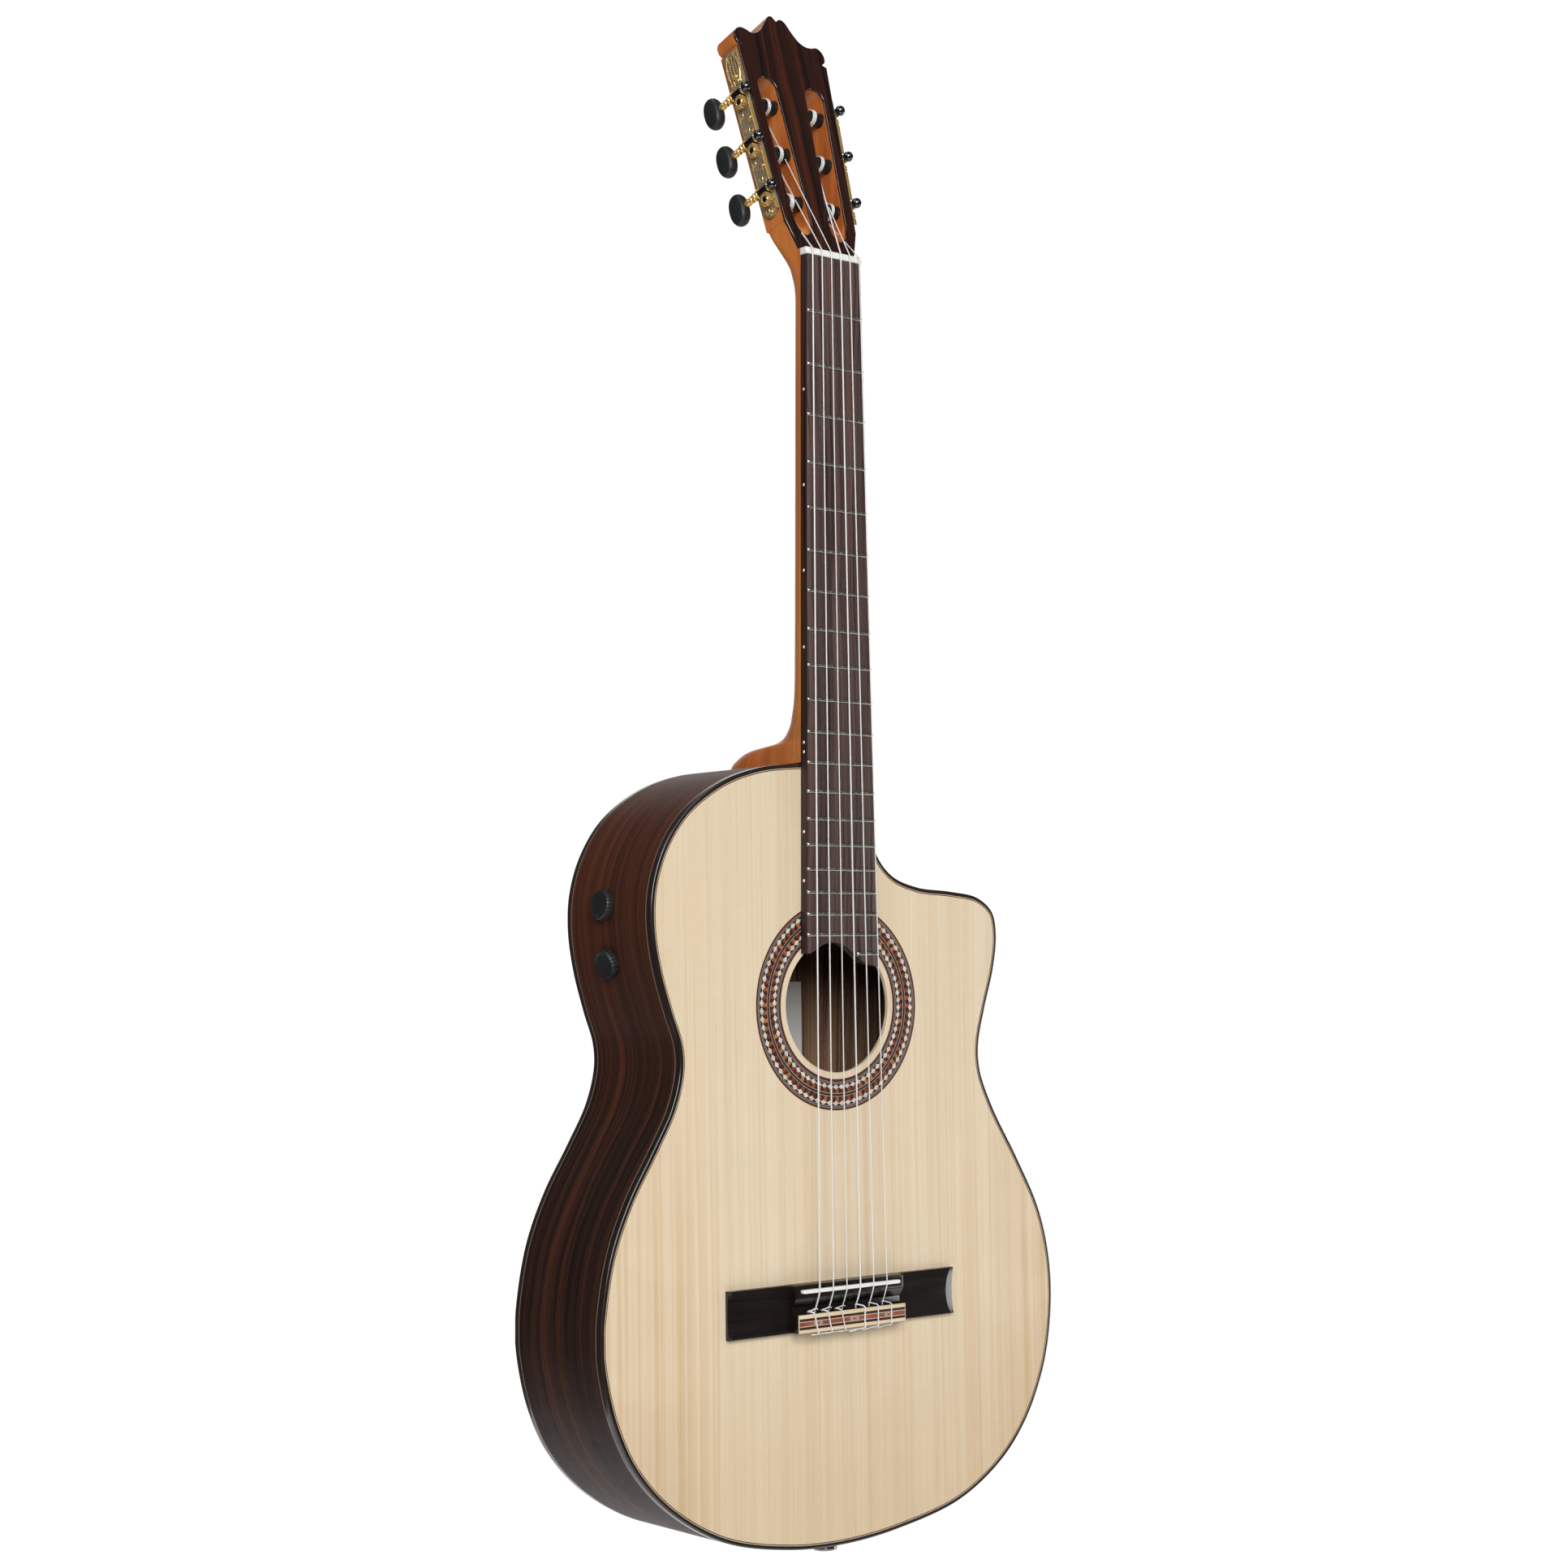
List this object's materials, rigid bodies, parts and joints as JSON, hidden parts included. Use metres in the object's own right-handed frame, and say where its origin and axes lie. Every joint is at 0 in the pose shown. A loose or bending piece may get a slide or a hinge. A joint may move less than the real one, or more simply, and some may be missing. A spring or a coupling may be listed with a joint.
{
  "type": "classical guitar",
  "caption": "Cutaway nylon-string classical guitar with slotted head, geared tuners, arched back, under-saddle pickup, side knobs and end jack.",
  "frame": {"origin": "on the centre line in the plane of the soundboard's outer face, level with the front edge of the nut, where the open strings' length starts; a hanger's yoke takes the neck there", "axes": "+Z along the neck towards the head, -Y the way the soundboard and strings face, +X towards the treble side with the cutaway"},
  "size_m": [0.3703, 0.1094, 1.0001],
  "materials": {
    "spruce": "satin",
    "rosewood": "satin",
    "binding": "gloss",
    "rosette": "satin",
    "lining": "matte",
    "brace": "matte",
    "label_paper": "matte paper",
    "neck_wood": "satin",
    "head_veneer": "gloss",
    "fingerboard": "satin",
    "fret_metal": "polished",
    "bone": "satin",
    "bridge_wood": "gloss",
    "tie_inlay": "satin",
    "pickup_shield": "satin",
    "black_plastic": "matte",
    "button_plastic": "satin",
    "nylon_string": "translucent gloss",
    "wound_string": "silver-plated winding",
    "chrome": "polished",
    "gold_plate": "polished gold plate",
    "black_metal": "black plated"
  },
  "bodies": {
    "root": {"soundboard": "spruce", "back_plate": "rosewood", "rib_bass": "rosewood", "rib_treble": "rosewood", "top_binding": "binding", "back_binding": "binding", "rosette": "rosette", "top_lining": "lining", "back_lining": "lining", "neck_block": "lining", "tail_block": "lining", "harmonic_bars": "brace", "fan_bracing": "brace", "back_bracing": "brace", "label": "label_paper", "neck": "neck_wood", "headplate": "head_veneer", "fingerboard": "fingerboard", "fret_set": "fret_metal", "nut": "bone", "saddle": "bone", "bridge": "bridge_wood", "tie_block_inlay": "tie_inlay", "piezo_pickup": "pickup_shield", "preamp": "black_plastic", "output_jack": "chrome", "tuner_plate_bass": "gold_plate", "tuner_plate_treble": "gold_plate", "string_1": "nylon_string", "string_2": "nylon_string", "string_3": "nylon_string", "string_4": "wound_string", "string_5": "wound_string", "string_6": "wound_string"},
    "tuner_1": {"worm_shaft_1": "black_metal", "tuner_button_1": "button_plastic"},
    "winder_1": {"roller_1": "black_plastic", "gear_1": "gold_plate"},
    "tuner_2": {"worm_shaft_2": "black_metal", "tuner_button_2": "button_plastic"},
    "winder_2": {"roller_2": "black_plastic", "gear_2": "gold_plate"},
    "tuner_3": {"worm_shaft_3": "black_metal", "tuner_button_3": "button_plastic"},
    "winder_3": {"roller_3": "black_plastic", "gear_3": "gold_plate"},
    "tuner_4": {"worm_shaft_4": "black_metal", "tuner_button_4": "button_plastic"},
    "winder_4": {"roller_4": "black_plastic", "gear_4": "gold_plate"},
    "tuner_5": {"worm_shaft_5": "black_metal", "tuner_button_5": "button_plastic"},
    "winder_5": {"roller_5": "black_plastic", "gear_5": "gold_plate"},
    "tuner_6": {"worm_shaft_6": "black_metal", "tuner_button_6": "button_plastic"},
    "winder_6": {"roller_6": "black_plastic", "gear_6": "gold_plate"},
    "volume_knob": {"volume_knob": "black_plastic"},
    "tone_knob": {"tone_knob": "black_plastic"}
  },
  "joints": [
    {"name": "tuner_1_turn", "type": "hinge", "parent": "root", "child": "tuner_1", "pos_m": [0.03587, 0.01996, 0.0447], "axis": [0, 0.9591, -0.2832], "continuous": true},
    {"name": "winder_1_turn", "type": "hinge", "parent": "root", "child": "winder_1", "pos_m": [0.03119, 0.0182, 0.03873], "axis": [0.9982, -0.0169, -0.0574], "continuous": true},
    {"name": "tuner_2_turn", "type": "hinge", "parent": "root", "child": "tuner_2", "pos_m": [0.038, 0.03001, 0.07875], "axis": [0, 0.9591, -0.2832], "continuous": true},
    {"name": "winder_2_turn", "type": "hinge", "parent": "root", "child": "winder_2", "pos_m": [0.03332, 0.02825, 0.07277], "axis": [0.9982, -0.0169, -0.0574], "continuous": true},
    {"name": "tuner_3_turn", "type": "hinge", "parent": "root", "child": "tuner_3", "pos_m": [0.04013, 0.04007, 0.1128], "axis": [0, 0.9591, -0.2832], "continuous": true},
    {"name": "winder_3_turn", "type": "hinge", "parent": "root", "child": "winder_3", "pos_m": [0.03545, 0.0383, 0.10682], "axis": [0.9982, -0.0169, -0.0574], "continuous": true},
    {"name": "tuner_4_turn", "type": "hinge", "parent": "root", "child": "tuner_4", "pos_m": [-0.04013, 0.04007, 0.1128], "axis": [0, 0.9591, -0.2832], "continuous": true},
    {"name": "winder_4_turn", "type": "hinge", "parent": "root", "child": "winder_4", "pos_m": [-0.03545, 0.0383, 0.10682], "axis": [-0.9982, -0.0169, -0.0574], "continuous": true},
    {"name": "tuner_5_turn", "type": "hinge", "parent": "root", "child": "tuner_5", "pos_m": [-0.038, 0.03001, 0.07875], "axis": [0, 0.9591, -0.2832], "continuous": true},
    {"name": "winder_5_turn", "type": "hinge", "parent": "root", "child": "winder_5", "pos_m": [-0.03332, 0.02825, 0.07277], "axis": [-0.9982, -0.0169, -0.0574], "continuous": true},
    {"name": "tuner_6_turn", "type": "hinge", "parent": "root", "child": "tuner_6", "pos_m": [-0.03587, 0.01996, 0.0447], "axis": [0, 0.9591, -0.2832], "continuous": true},
    {"name": "winder_6_turn", "type": "hinge", "parent": "root", "child": "winder_6", "pos_m": [-0.03119, 0.0182, 0.03873], "axis": [-0.9982, -0.0169, -0.0574], "continuous": true},
    {"name": "volume_knob_turn", "type": "hinge", "parent": "root", "child": "volume_knob", "pos_m": [-0.14513, 0.047, -0.4143], "axis": [-0.9924, 0, 0.1231], "range_deg": [-140, 140]},
    {"name": "tone_knob_turn", "type": "hinge", "parent": "root", "child": "tone_knob", "pos_m": [-0.14204, 0.047, -0.449], "axis": [-0.9636, 0, -0.2675], "range_deg": [-140, 140]}
  ],
  "couplings": [
    {"joint": "winder_1_turn", "follows": "tuner_1_turn", "ratio": 0.0625},
    {"joint": "winder_2_turn", "follows": "tuner_2_turn", "ratio": 0.0625},
    {"joint": "winder_3_turn", "follows": "tuner_3_turn", "ratio": 0.0625},
    {"joint": "winder_4_turn", "follows": "tuner_4_turn", "ratio": -0.0625},
    {"joint": "winder_5_turn", "follows": "tuner_5_turn", "ratio": -0.0625},
    {"joint": "winder_6_turn", "follows": "tuner_6_turn", "ratio": -0.0625}
  ]
}
